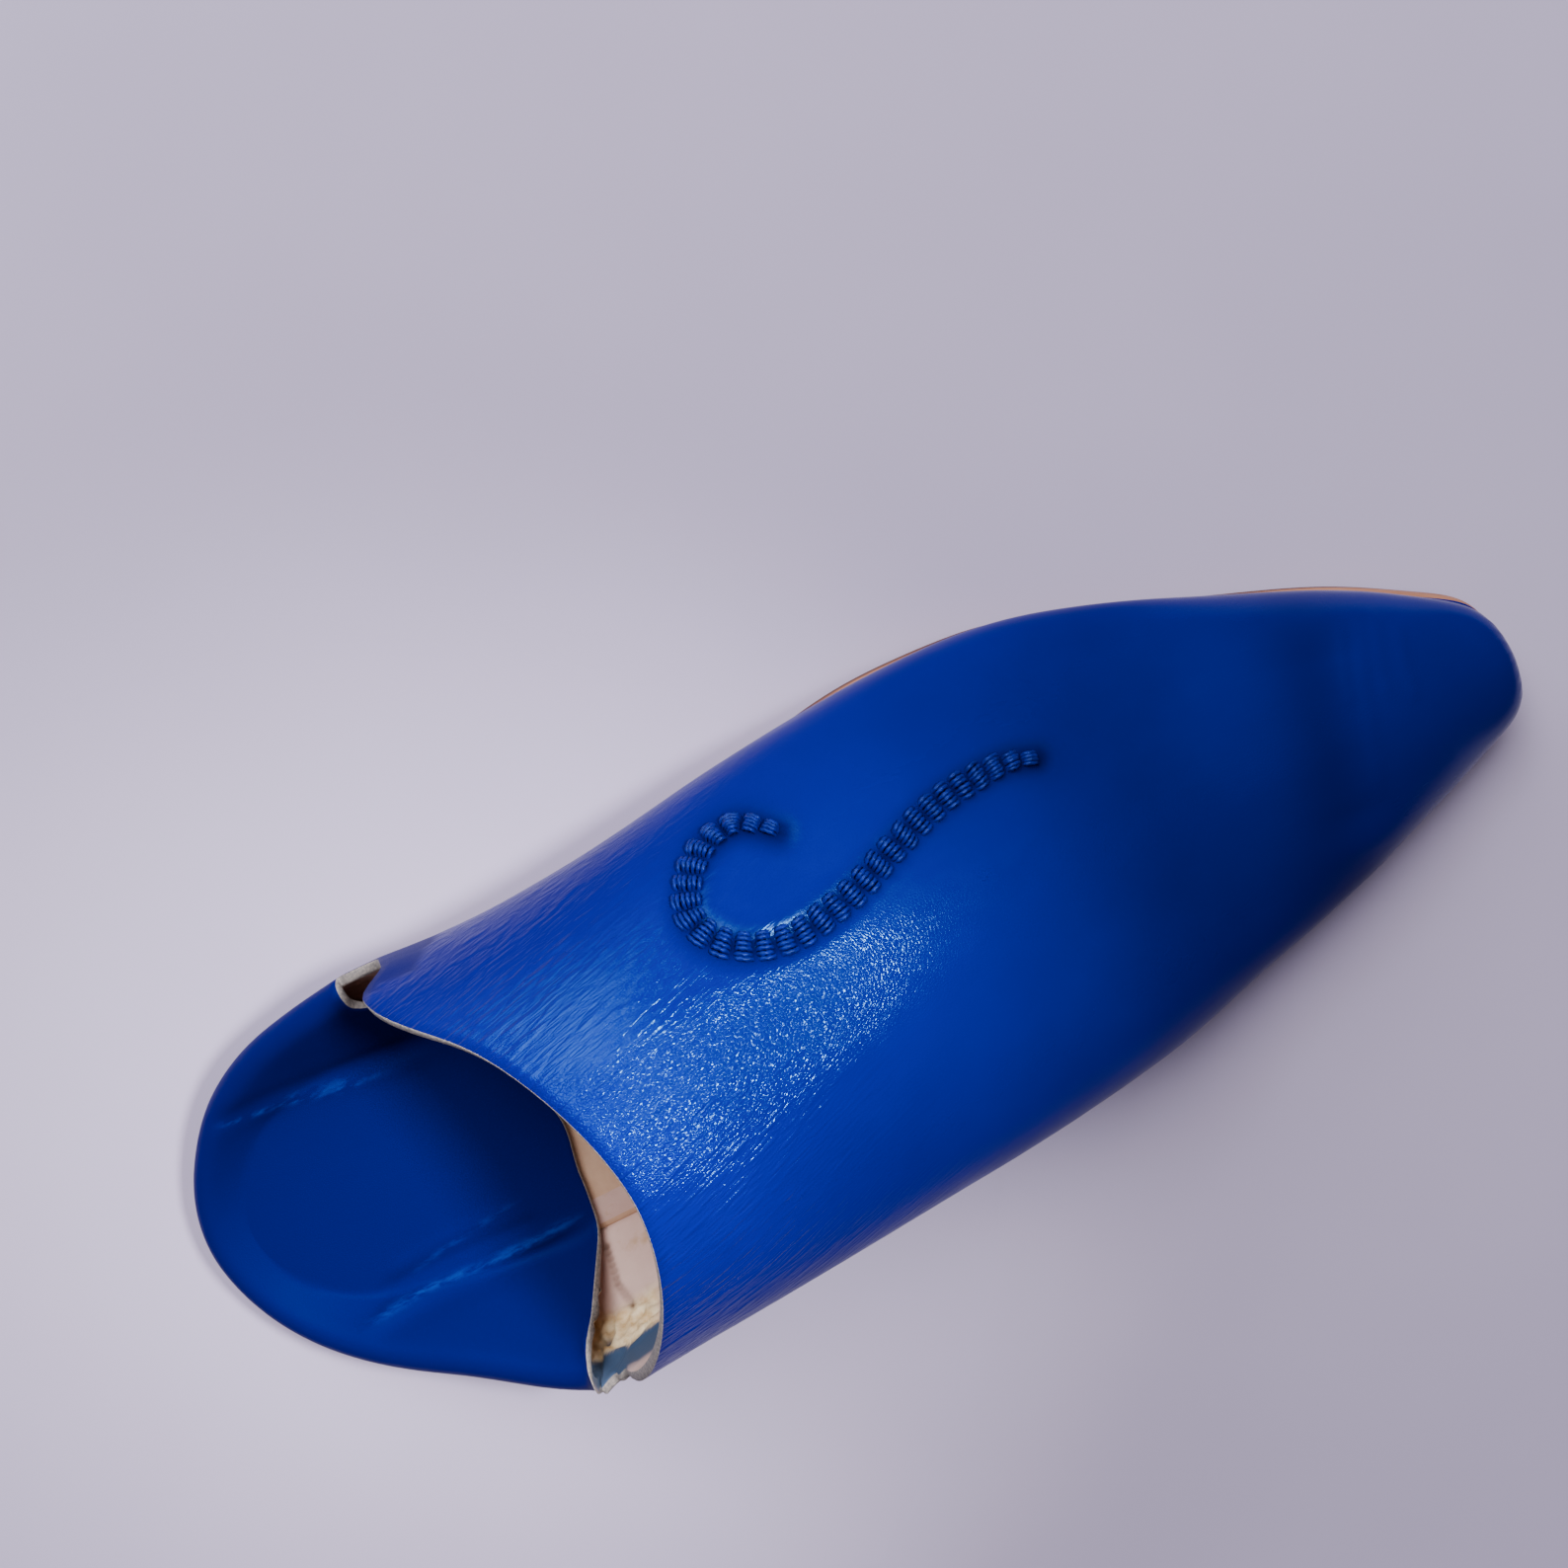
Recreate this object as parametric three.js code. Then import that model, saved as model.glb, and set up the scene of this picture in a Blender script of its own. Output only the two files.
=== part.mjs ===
import * as THREE from 'three';

// A flat leather slipper for the left foot, its back folded down inside.
// Millimetres. The toe points along +X, the wearer's left is +Y, the floor is Z = 0.

// Main sizes
const SOLE_LENGTH = 260;
const BALL_WIDTH = 80.6;
const INSTEP_HEIGHT = 76;
const BACK_FOLD_HEIGHT = 11.2;
const LEFT_FOLD_HEIGHT = 28;
const RIGHT_FOLD_HEIGHT = 36;

// Leather and clearances
const OUTSOLE_THICK = 5;
const INSOLE_THICK = 1.6;
const UPPER_WALL = 1.8;
const FOLD_RADIUS = 3.2;
const LAYER_GAP = 0.3;
const INSOLE_SIDE_GAP = 0.5;

// Sole edge: a chamfer, an upright facet, a facet leaning in, and the channel underneath
const EDGE_CHAMFER = 0.5;
const LOWER_FACET_TOP = 0.54 * OUTSOLE_THICK;
const EDGE_LEAN = 0.8;
const CHANNEL_INSET = 3;
const CHANNEL_WIDTH = 0.7;
const CHANNEL_DEPTH = 0.4;
const TOE_SPRING = 1.2;
const SPRING_START = 0.84;
const SOLE_BOW = 3.2;
const TOE_TURN = 4.7;

// How far the upper stands out over the sole, and its thin raw edge above the sole
const SIDE_OVERHANG = 8.8;
const TOE_SETBACK = 1.8;
const HEEL_SETBACK = 2.4;
const RAW_EDGE_HIGH = 1.2;
const RAW_EDGE_WIDE = 0.7;

// Collar, as shares of the length from the heel
const THROAT_AT = 0.385;
const COLLAR_ROUNDNESS = 1.34;
const LEFT_COLLAR = { fold: 0.217, vamp: 0.232 };
const RIGHT_COLLAR = { fold: 0.248, vamp: 0.262 };
const SLIT_DIP = 1.2;

// The folded back lying on the insole
const CREASE_INSET_REAR = 9;
const CREASE_INSET_LEFT = 20;
const CREASE_INSET_RIGHT = 17;
const CREASE_GAIN = 1.6;
const CREASE_FORWARD = 4;
const FLAP_FORWARD = 5;

// How many steps each run is cut into
const HEEL_STEPS = 12;
const SLIT_STEPS = 2;
const VAMP_STEPS = 26;
const ARCH_STEPS = 22;
const FOLD_STEPS = 5;
const SLOPE_STEPS = 3;
const FLAT_STEPS = 8;
const EDGE_STEPS = 96;
const TOE_CROWDING = 0.8;

// Sections from the heel to the toe. at: share of the length. half: sole half width, share of
// half the ball width. left and right: overhang of the upper, shares of SIDE_OVERHANG. ridge and
// side: height of the top line and of the widest line, shares of INSTEP_HEIGHT.
const SECTIONS = [
  { at: 0.00, half: 0.000, left: 0.00, right: 0.00, ridge: 1.000, side: 0.376 },
  { at: 0.03, half: 0.372, left: 0.49, right: 0.52, ridge: 1.000, side: 0.376 },
  { at: 0.08, half: 0.568, left: 0.86, right: 0.70, ridge: 1.000, side: 0.376 },
  { at: 0.15, half: 0.690, left: 1.05, right: 0.87, ridge: 1.000, side: 0.376 },
  { at: 0.25, half: 0.767, left: 1.00, right: 1.39, ridge: 1.000, side: 0.380 },
  { at: 0.30, half: 0.768, left: 0.79, right: 1.16, ridge: 1.000, side: 0.395 },
  { at: 0.38, half: 0.777, left: 0.78, right: 0.87, ridge: 1.000, side: 0.410 },
  { at: 0.50, half: 0.906, left: 0.47, right: 0.45, ridge: 0.808, side: 0.349 },
  { at: 0.60, half: 1.000, left: 0.17, right: 0.14, ridge: 0.649, side: 0.288 },
  { at: 0.68, half: 0.973, left: 0.18, right: 0.10, ridge: 0.525, side: 0.241 },
  { at: 0.76, half: 0.836, left: 0.23, right: 0.18, ridge: 0.403, side: 0.195 },
  { at: 0.84, half: 0.660, left: 0.16, right: 0.23, ridge: 0.367, side: 0.180 },
  { at: 0.91, half: 0.509, left: 0.06, right: 0.03, ridge: 0.305, side: 0.152 },
  { at: 0.96, half: 0.355, left: 0.00, right: 0.03, ridge: 0.232, side: 0.134 },
  { at: 0.99, half: 0.236, left: -0.06, right: 0.03, ridge: 0.195, side: 0.124 },
  { at: 1.00, half: 0.000, left: 0.00, right: 0.00, ridge: 0.130, side: 0.130 },
];

// Heights that follow from the sizes above
const SOLE_TOP = OUTSOLE_THICK;
const INSOLE_BASE = SOLE_TOP + LAYER_GAP;
const INSOLE_TOP = INSOLE_BASE + INSOLE_THICK;
const UPPER_BASE = SOLE_TOP + LAYER_GAP;
const ROOT_INSET = EDGE_LEAN + RAW_EDGE_WIDE;
const FLAP_FACE = INSOLE_TOP + 1.5 * LAYER_GAP + UPPER_WALL;

const mix = (a, b, t) => a + (b - a) * t;

// Stretches the share of the length so that both ends turn round smoothly
const turned = (share) => Math.acos(1 - 2 * Math.min(1, Math.max(0, share))) / Math.PI;
const straight = (t) => (1 - Math.cos(Math.PI * t)) / 2;

// A smooth curve without overshoot through one column of the sections
function through(column) {
  const t = SECTIONS.map((row) => turned(row.at));
  const v = SECTIONS.map((row) => row[column]);
  const grade = [];
  for (let i = 0; i < t.length - 1; i++) {
    grade.push((v[i + 1] - v[i]) / (t[i + 1] - t[i]));
  }
  const slope = v.map((_, i) => {
    const before = grade[Math.max(0, i - 1)];
    const after = grade[Math.min(grade.length - 1, i)];
    return before * after <= 0 ? 0 : (2 * before * after) / (before + after);
  });
  return (share) => {
    const at = turned(share);
    let i = 0;
    while (i < t.length - 2 && at > t[i + 1]) {
      i++;
    }
    const span = t[i + 1] - t[i];
    const u = (at - t[i]) / span;
    const a = (1 + 2 * u) * (1 - u) ** 2;
    const b = u * (1 - u) ** 2 * span;
    const c = u * u * (3 - 2 * u);
    const d = u * u * (u - 1) * span;
    return a * v[i] + b * slope[i] + c * v[i + 1] + d * slope[i + 1];
  };
}

const halfShare = through('half');
const leftShare = through('left');
const rightShare = through('right');
const ridgeShare = through('ridge');
const sideShare = through('side');

// The centre line bows a little towards the inner side at the toe
function centre(share) {
  const u = 2 * share - 1;
  return -SOLE_BOW * (u * u - 0.33) - TOE_TURN * (u ** 3 - 0.6 * u);
}

function lift(share) {
  const past = Math.max(0, (share - SPRING_START) / (1 - SPRING_START));
  return TOE_SPRING * past * past;
}

// A lap runs from 0 at the heel along the left side to 1 at the toe and back to 2
function lapShare(lap) {
  const round = ((lap % 2) + 2) % 2;
  const side = round <= 1 ? 1 : -1;
  return { share: straight(side > 0 ? round : 2 - round), side };
}

function soleEdge(lap) {
  const { share, side } = lapShare(lap);
  const half = (halfShare(share) * BALL_WIDTH) / 2;
  return [SOLE_LENGTH * share, centre(share) + side * half];
}

function upperX(share) {
  return mix(HEEL_SETBACK, SOLE_LENGTH - TOE_SETBACK, share);
}

function upperHalf(share, side) {
  const over = side > 0 ? leftShare(share) : rightShare(share);
  return (halfShare(share) * BALL_WIDTH) / 2 + over * SIDE_OVERHANG;
}

function upperEdge(lap) {
  const { share, side } = lapShare(lap);
  return [upperX(share), centre(share) + side * upperHalf(share, side)];
}

function outward(edge, lap) {
  const a = edge(lap - 0.004);
  const b = edge(lap + 0.004);
  const long = Math.hypot(b[0] - a[0], b[1] - a[1]);
  return [-(b[1] - a[1]) / long, (b[0] - a[0]) / long];
}

// A point on the edge of the sole, moved in by inset
function soleInset(lap, inset, z) {
  const p = soleEdge(lap);
  const n = outward(soleEdge, lap);
  const { share } = lapShare(lap);
  return [p[0] - n[0] * inset, p[1] - n[1] * inset, z + lift(share)];
}

// Meshes
class Shell {
  constructor() {
    this.points = [];
    this.faces = [];
  }

  add(point) {
    this.points.push(point);
    return this.points.length - 1;
  }

  quad(a, b, c, d) {
    const split = [[a, b, c], [a, c, d]];
    for (const face of split) {
      if (new Set(face).size === 3) {
        this.faces.push(face);
      }
    }
  }

  normals() {
    const sums = this.points.map(() => new THREE.Vector3());
    for (const face of this.faces) {
      const [a, b, c] = face.map((k) => new THREE.Vector3(...this.points[k]));
      const n = b.sub(a).cross(c.sub(a));
      face.forEach((k) => sums[k].add(n));
    }
    return sums.map((n) => n.normalize());
  }

  mesh(name, material) {
    const geometry = new THREE.BufferGeometry();
    geometry.setAttribute('position', new THREE.Float32BufferAttribute(this.points.flat(), 3));
    geometry.setIndex(this.faces.flat());
    geometry.computeVertexNormals();
    const mesh = new THREE.Mesh(geometry, material);
    mesh.name = name;
    return mesh;
  }
}

// A flat body from rings that all follow the sole edge, listed from underneath to the top
function layered(rings) {
  const shell = new Shell();
  const laps = Array.from({ length: EDGE_STEPS }, (_, i) => (2 * i) / EDGE_STEPS);
  const rows = rings.map((ring) => laps.map((lap) => shell.add(soleInset(lap, ring.inset, ring.z))));
  for (let r = 0; r < rows.length - 1; r++) {
    for (let i = 0; i < EDGE_STEPS; i++) {
      const j = (i + 1) % EDGE_STEPS;
      shell.quad(rows[r][i], rows[r + 1][i], rows[r + 1][j], rows[r][j]);
    }
  }
  const low = rows[0];
  const top = rows[rows.length - 1];
  for (let i = 0; i < EDGE_STEPS / 2; i++) {
    const a = (EDGE_STEPS - i) % EDGE_STEPS;
    const b = EDGE_STEPS - i - 1;
    shell.quad(low[i], low[i + 1], low[b], low[a]);
    shell.quad(top[i], top[a], top[b], top[i + 1]);
  }
  return shell;
}

function outsole() {
  const outer = CHANNEL_INSET;
  const inner = CHANNEL_INSET + CHANNEL_WIDTH;
  const bevel = CHANNEL_WIDTH / 5;
  return layered([
    { inset: inner, z: 0 },
    { inset: inner - bevel, z: CHANNEL_DEPTH },
    { inset: outer + bevel, z: CHANNEL_DEPTH },
    { inset: outer, z: 0 },
    { inset: EDGE_CHAMFER, z: 0 },
    { inset: 0, z: EDGE_CHAMFER },
    { inset: 0, z: LOWER_FACET_TOP },
    { inset: EDGE_LEAN, z: SOLE_TOP },
  ]);
}

function insole() {
  const inset = ROOT_INSET + UPPER_WALL + INSOLE_SIDE_GAP;
  const soft = 0.25 * INSOLE_THICK;
  return layered([
    { inset: inset + soft, z: INSOLE_BASE },
    { inset, z: INSOLE_BASE + soft },
    { inset, z: INSOLE_TOP - soft },
    { inset: inset + soft, z: INSOLE_TOP },
  ]);
}

// The upper
// Height of the top of the rear fold on one side
function foldTop(share, side) {
  const end = side > 0 ? LEFT_COLLAR.fold : RIGHT_COLLAR.fold;
  const high = side > 0 ? LEFT_FOLD_HEIGHT : RIGHT_FOLD_HEIGHT;
  return mix(BACK_FOLD_HEIGHT, high, Math.min(1, share / end) ** 1.2);
}

// Height of the widest line: under the fold at the rear, low on the vamp in front
function sideHeight(share, side) {
  const ends = side > 0 ? LEFT_COLLAR : RIGHT_COLLAR;
  const rear = foldTop(share, side) - FOLD_RADIUS;
  const front = sideShare(share) * INSTEP_HEIGHT;
  const t = Math.min(1, Math.max(0, (share - ends.fold) / (ends.vamp - ends.fold)));
  return mix(rear, front, t) - SLIT_DIP * Math.sin(Math.PI * t);
}

// Steps along the vamp, closer together towards the toe
function towardsToe(i) {
  const t = i / VAMP_STEPS;
  return mix(t, Math.sin((Math.PI * t) / 2), TOE_CROWDING);
}

// Columns of one side from the heel to the toe
function columns(side) {
  const ends = side > 0 ? LEFT_COLLAR : RIGHT_COLLAR;
  const shares = [];
  for (let i = 0; i <= HEEL_STEPS; i++) {
    shares.push(ends.fold * (1 - Math.cos((Math.PI * i) / (2 * HEEL_STEPS))));
  }
  for (let i = 1; i <= SLIT_STEPS; i++) {
    shares.push(mix(ends.fold, ends.vamp, i / SLIT_STEPS));
  }
  for (let i = 1; i <= VAMP_STEPS; i++) {
    shares.push(mix(ends.vamp, 1, towardsToe(i)));
  }
  return shares.map((share) => {
    const t = turned(share);
    return { share, side, lap: side > 0 ? t : 2 - t };
  });
}

// Rise of the wall from the sole to the widest line, in rows of growing height
const WALL_ROWS = [0, 0.07, 0.2, 0.4, 0.68, 1];

function wallPoint(column, climb, depth = 0) {
  const foot = soleInset(column.lap, ROOT_INSET + depth, UPPER_BASE + RAW_EDGE_HIGH);
  const wide = upperEdge(column.lap);
  const n = outward(upperEdge, column.lap);
  const high = sideHeight(column.share, column.side) + lift(column.share);
  const out = 1 - (1 - climb) ** 2.2;
  const x = mix(foot[0], wide[0] - n[0] * depth, out);
  const y = mix(foot[1], wide[1] - n[1] * depth, out);
  return [x, y, mix(foot[2], high, climb)];
}

// The lining face of the wall: square to the face where the wall is tall, level where it is low
function liningPoint(face, normal, column, climb) {
  const level = wallPoint(column, climb, UPPER_WALL);
  const tall = sideHeight(column.share, column.side) - UPPER_BASE - RAW_EDGE_HIGH;
  const t = Math.min(1, Math.max(0, tall / (2 * UPPER_WALL) - 1));
  const n = normal.clone().setZ(Math.min(0, normal.z)).normalize();
  return face.map((value, axis) => mix(level[axis], value - n.getComponent(axis) * UPPER_WALL, t));
}

// A point of the arch over the foot, turn 0 on the left to 1 on the right
function archPoint(forward, turn) {
  const c = Math.cos(Math.PI * turn);
  const s = Math.sin(Math.PI * turn);
  const low = (LEFT_COLLAR.vamp * (1 + c) + RIGHT_COLLAR.vamp * (1 - c)) / 2;
  const cut = mix(low, THROAT_AT, s ** COLLAR_ROUNDNESS);
  const share = mix(cut, 1, forward);
  const side = (sideHeight(share, 1) * (1 + c) + sideHeight(share, -1) * (1 - c)) / 2;
  const ridge = ridgeShare(share) * INSTEP_HEIGHT;
  const half = (upperHalf(share, 1) * (1 + c) + upperHalf(share, -1) * (1 - c)) / 2;
  const across = Math.sign(c) * Math.abs(c) ** 1.127 * half;
  return [upperX(share), centre(share) + across, mix(side, ridge, s) + lift(share)];
}

// Where the folded back meets the insole, and how the slope reaches it
function crease(column) {
  const ends = column.side > 0 ? LEFT_COLLAR : RIGHT_COLLAR;
  const front = column.side > 0 ? CREASE_INSET_LEFT : CREASE_INSET_RIGHT;
  const along = column.share / ends.fold;
  const inset = mix(CREASE_INSET_REAR, front, along ** CREASE_GAIN);
  const p = upperEdge(column.lap);
  const n = outward(upperEdge, column.lap);
  return [p[0] - n[0] * inset + CREASE_FORWARD * along * along, p[1] - n[1] * inset, FLAP_FACE];
}

function foldPoint(column, angle) {
  const p = upperEdge(column.lap);
  const n = outward(upperEdge, column.lap);
  const z = sideHeight(column.share, column.side);
  const away = FOLD_RADIUS * (1 - Math.cos(angle));
  return [p[0] - n[0] * away, p[1] - n[1] * away, z + FOLD_RADIUS * Math.sin(angle)];
}

// The angle at which the straight slope leaves the round of the fold
function foldEnd(column) {
  const p = upperEdge(column.lap);
  const q = crease(column);
  const n = outward(upperEdge, column.lap);
  const run = (p[0] - q[0]) * n[0] + (p[1] - q[1]) * n[1] - FOLD_RADIUS;
  const drop = sideHeight(column.share, column.side) - FLAP_FACE;
  const reach = Math.hypot(run, drop);
  return Math.PI / 2 + Math.atan2(drop, run) + Math.asin(FOLD_RADIUS / reach);
}

function upper() {
  const shell = new Shell();
  const left = columns(1);
  const right = columns(-1);
  const last = left.length - 1;

  // The wall all round, heel and toe columns shared by both sides
  const wallOf = (column) => WALL_ROWS.map((climb) => shell.add(wallPoint(column, climb)));
  const foot = (column) => shell.add(soleInset(column.lap, ROOT_INSET, UPPER_BASE));
  const leftWall = left.map((column) => [foot(column), ...wallOf(column)]);
  const rightWall = right.map((column, i) => {
    return i === 0 || i === last ? leftWall[i] : [foot(column), ...wallOf(column)];
  });
  const crest = WALL_ROWS.length;
  for (let i = 0; i < last; i++) {
    for (let r = 0; r < crest; r++) {
      shell.quad(leftWall[i][r], leftWall[i][r + 1], leftWall[i + 1][r + 1], leftWall[i + 1][r]);
      shell.quad(rightWall[i + 1][r], rightWall[i + 1][r + 1], rightWall[i][r + 1], rightWall[i][r]);
    }
  }

  // The arch from the collar to the toe
  const start = HEEL_STEPS + SLIT_STEPS;
  const arch = [];
  for (let i = 0; i <= VAMP_STEPS; i++) {
    const row = [leftWall[start + i][crest]];
    for (let k = 1; k < ARCH_STEPS; k++) {
      const forward = towardsToe(i);
      row.push(i === VAMP_STEPS ? row[0] : shell.add(archPoint(forward, k / ARCH_STEPS)));
    }
    row.push(rightWall[start + i][crest]);
    arch.push(row);
  }
  for (let i = 0; i < VAMP_STEPS; i++) {
    for (let k = 0; k < ARCH_STEPS; k++) {
      shell.quad(arch[i][k], arch[i][k + 1], arch[i + 1][k + 1], arch[i + 1][k]);
    }
  }

  // The fold round the heel, the slope inside it and the flat part on the insole
  const inside = (column, wall) => {
    const chain = [wall[crest]];
    const end = foldEnd(column);
    for (let k = 1; k <= FOLD_STEPS; k++) {
      chain.push(shell.add(foldPoint(column, (end * k) / FOLD_STEPS)));
    }
    const from = foldPoint(column, end);
    const to = crease(column);
    for (let k = 1; k <= SLOPE_STEPS; k++) {
      chain.push(shell.add(from.map((value, axis) => mix(value, to[axis], k / SLOPE_STEPS))));
    }
    return chain;
  };
  const leftIn = left.slice(0, HEEL_STEPS + 1).map((column, i) => inside(column, leftWall[i]));
  const rightIn = right.slice(0, HEEL_STEPS + 1).map((column, i) => {
    return i === 0 ? leftIn[0] : inside(column, rightWall[i]);
  });
  const deep = leftIn[0].length - 1;
  for (let i = 0; i < HEEL_STEPS; i++) {
    for (let r = 0; r < deep; r++) {
      shell.quad(leftIn[i][r], leftIn[i][r + 1], leftIn[i + 1][r + 1], leftIn[i + 1][r]);
      shell.quad(rightIn[i + 1][r], rightIn[i + 1][r + 1], rightIn[i][r + 1], rightIn[i][r]);
    }
  }
  const flat = leftIn.map((chain, i) => {
    const from = shell.points[chain[deep]];
    const to = shell.points[rightIn[i][deep]];
    const row = [chain[deep]];
    for (let k = 1; k < FLAT_STEPS; k++) {
      const t = k / FLAT_STEPS;
      const along = i / HEEL_STEPS;
      const forward = FLAP_FORWARD * along * along * Math.sin(Math.PI * t);
      const p = [mix(from[0], to[0], t) + forward, mix(from[1], to[1], t), FLAP_FACE];
      row.push(i === 0 ? row[0] : shell.add(p));
    }
    row.push(rightIn[i][deep]);
    return row;
  });
  for (let i = 0; i < HEEL_STEPS; i++) {
    for (let k = 0; k < FLAT_STEPS; k++) {
      shell.quad(flat[i][k], flat[i][k + 1], flat[i + 1][k + 1], flat[i + 1][k]);
    }
  }

  return thicken(shell, leftWall, rightWall, left, right);
}

// Adds the lining face one wall inside, joins the free edges, and steps out the raw edge
function thicken(shell, leftWall, rightWall, left, right) {
  const count = shell.points.length;
  const normals = shell.normals();
  const feet = new Map();
  left.forEach((column, i) => feet.set(leftWall[i][0], column));
  right.forEach((column, i) => feet.set(rightWall[i][0], column));
  const onWall = new Map();
  const mark = (wall, column) => wall.slice(1).forEach((k, r) => onWall.set(k, [column, WALL_ROWS[r]]));
  left.forEach((column, i) => mark(leftWall[i], column));
  right.forEach((column, i) => mark(rightWall[i], column));
  for (let k = 0; k < count; k++) {
    const p = shell.points[k];
    const n = normals[k];
    if (feet.has(k)) {
      shell.add(soleInset(feet.get(k).lap, ROOT_INSET + UPPER_WALL, UPPER_BASE));
    } else if (onWall.has(k)) {
      shell.add(liningPoint(p, n, ...onWall.get(k)));
    } else {
      shell.add([p[0] - n.x * UPPER_WALL, p[1] - n.y * UPPER_WALL, p[2] - n.z * UPPER_WALL]);
    }
  }

  const uses = new Map();
  for (const face of shell.faces) {
    face.forEach((a, i) => uses.set(`${a}_${face[(i + 1) % 3]}`, [a, face[(i + 1) % 3]]));
  }
  const rims = [...uses.values()].filter(([a, b]) => !uses.has(`${b}_${a}`));
  const inner = shell.faces.map(([a, b, c]) => [a + count, c + count, b + count]);
  shell.faces.push(...inner);
  for (const [a, b] of rims) {
    shell.quad(b, a, a + count, b + count);
  }

  // Ledge of the raw edge: the foot moves out and a second point stands above it
  const ledge = new Map();
  for (const [k, column] of feet) {
    shell.points[k] = soleInset(column.lap, EDGE_LEAN, UPPER_BASE);
    ledge.set(k, shell.add(soleInset(column.lap, EDGE_LEAN, UPPER_BASE + 0.85 * RAW_EDGE_HIGH)));
  }
  const kept = [];
  for (const face of shell.faces) {
    const outside = face.every((k) => k < count);
    kept.push(outside ? face.map((k) => ledge.get(k) ?? k) : face);
  }
  shell.faces = kept;
  const ring = (walls) => walls.map((wall) => wall[0]);
  const lower = [...ring(leftWall), ...ring(rightWall).reverse().slice(1, -1)];
  lower.forEach((a, i) => {
    const b = lower[(i + 1) % lower.length];
    shell.quad(a, ledge.get(a), ledge.get(b), b);
  });
  return shell;
}

// Colours
const hide = new THREE.MeshStandardMaterial({ color: 0x0a35a8, roughness: 0.38, metalness: 0 });
const stout = new THREE.MeshStandardMaterial({ color: 0xb07a6c, roughness: 0.6, metalness: 0 });
const tan = new THREE.MeshStandardMaterial({ color: 0xb58a5c, roughness: 0.75, metalness: 0 });

const group = new THREE.Group();
group.name = 'babouche';
group.add(outsole().mesh('outsole', stout));
group.add(insole().mesh('insole', tan));
group.add(upper().mesh('upper', hide));

// The origin sits under the middle of the whole shoe
const box = new THREE.Box3().setFromObject(group);
for (const mesh of group.children) {
  mesh.geometry.translate(-(box.min.x + box.max.x) / 2, -(box.min.y + box.max.y) / 2, -box.min.z);
}

export default group;
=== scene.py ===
import heapq
import math
import random

import bmesh
import bpy
from mathutils import Matrix, Vector, noise
from mathutils.bvhtree import BVHTree


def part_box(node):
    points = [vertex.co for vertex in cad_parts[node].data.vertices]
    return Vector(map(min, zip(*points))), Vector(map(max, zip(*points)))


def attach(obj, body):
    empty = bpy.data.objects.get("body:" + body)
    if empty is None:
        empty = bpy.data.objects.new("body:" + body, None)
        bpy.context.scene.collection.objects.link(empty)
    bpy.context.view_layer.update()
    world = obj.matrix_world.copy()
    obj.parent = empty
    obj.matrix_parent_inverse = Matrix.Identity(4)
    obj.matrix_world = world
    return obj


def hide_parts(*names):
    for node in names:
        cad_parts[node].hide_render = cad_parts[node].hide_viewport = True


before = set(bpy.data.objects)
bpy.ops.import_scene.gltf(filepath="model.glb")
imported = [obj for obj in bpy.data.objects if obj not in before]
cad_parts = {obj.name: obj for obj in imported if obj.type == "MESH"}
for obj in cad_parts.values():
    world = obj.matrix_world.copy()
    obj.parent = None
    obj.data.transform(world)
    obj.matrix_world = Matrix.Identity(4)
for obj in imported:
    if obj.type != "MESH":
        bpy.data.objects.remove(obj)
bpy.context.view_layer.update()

# Sizes in metres. A place on the shoe is given from the heel end of the sole, in millimetres.
MM = 0.001
HEEL_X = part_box("outsole")[0][0]
SHOE_Y = 0.23 * MM
ROOT_TOP = 6.5  # where the upper's raw edge ends above the sole
FLAP_END = 78  # the folded back reaches from the heel to here
FLAP_TOP = 17  # and lies below this height between the low side walls


def on_shoe(x, y, z=0.0):
    return Vector((HEEL_X + x * MM, SHOE_Y + y * MM, z * MM))


def shoe_mm(co):
    return (co.x - HEEL_X) / MM, (co.y - SHOE_Y) / MM, co.z / MM


def ease(t):
    t = min(1.0, max(0.0, t))
    return t * t * (3 - 2 * t)


def bell(distance, width):
    return math.exp(-(distance / width) ** 2)


def along_line(x, y, points):
    """Distance from a line of plan points, and the share of its length where the nearest one lies."""
    best, at = 1e9, 0.0
    steps = len(points) - 1
    for i in range(steps):
        (ax, ay), (bx, by) = points[i], points[i + 1]
        dx, dy = bx - ax, by - ay
        t = min(1.0, max(0.0, ((x - ax) * dx + (y - ay) * dy) / (dx * dx + dy * dy)))
        gap = math.hypot(x - ax - dx * t, y - ay - dy * t)
        if gap < best:
            best, at = gap, (i + t) / steps
    return best, at


def spline(points, per_span):
    """A smooth plan curve through the points."""
    padded = [points[0], *points, points[-1]]
    curve = []
    for i in range(1, len(padded) - 2):
        for k in range(per_span):
            t = k / per_span
            curve.append(tuple(0.5 * (2 * b + (c - a) * t + (2 * a - 5 * b + 4 * c - d) * t * t
                                      + (3 * b - a - 3 * c + d) * t ** 3)
                               for a, b, c, d in zip(*padded[i - 1:i + 3])))
    curve.append(points[-1])
    return curve


# Materials
ROW_TURN = 0.23  # radians between the rows of grain beside the collar and the length of the shoe


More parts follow.
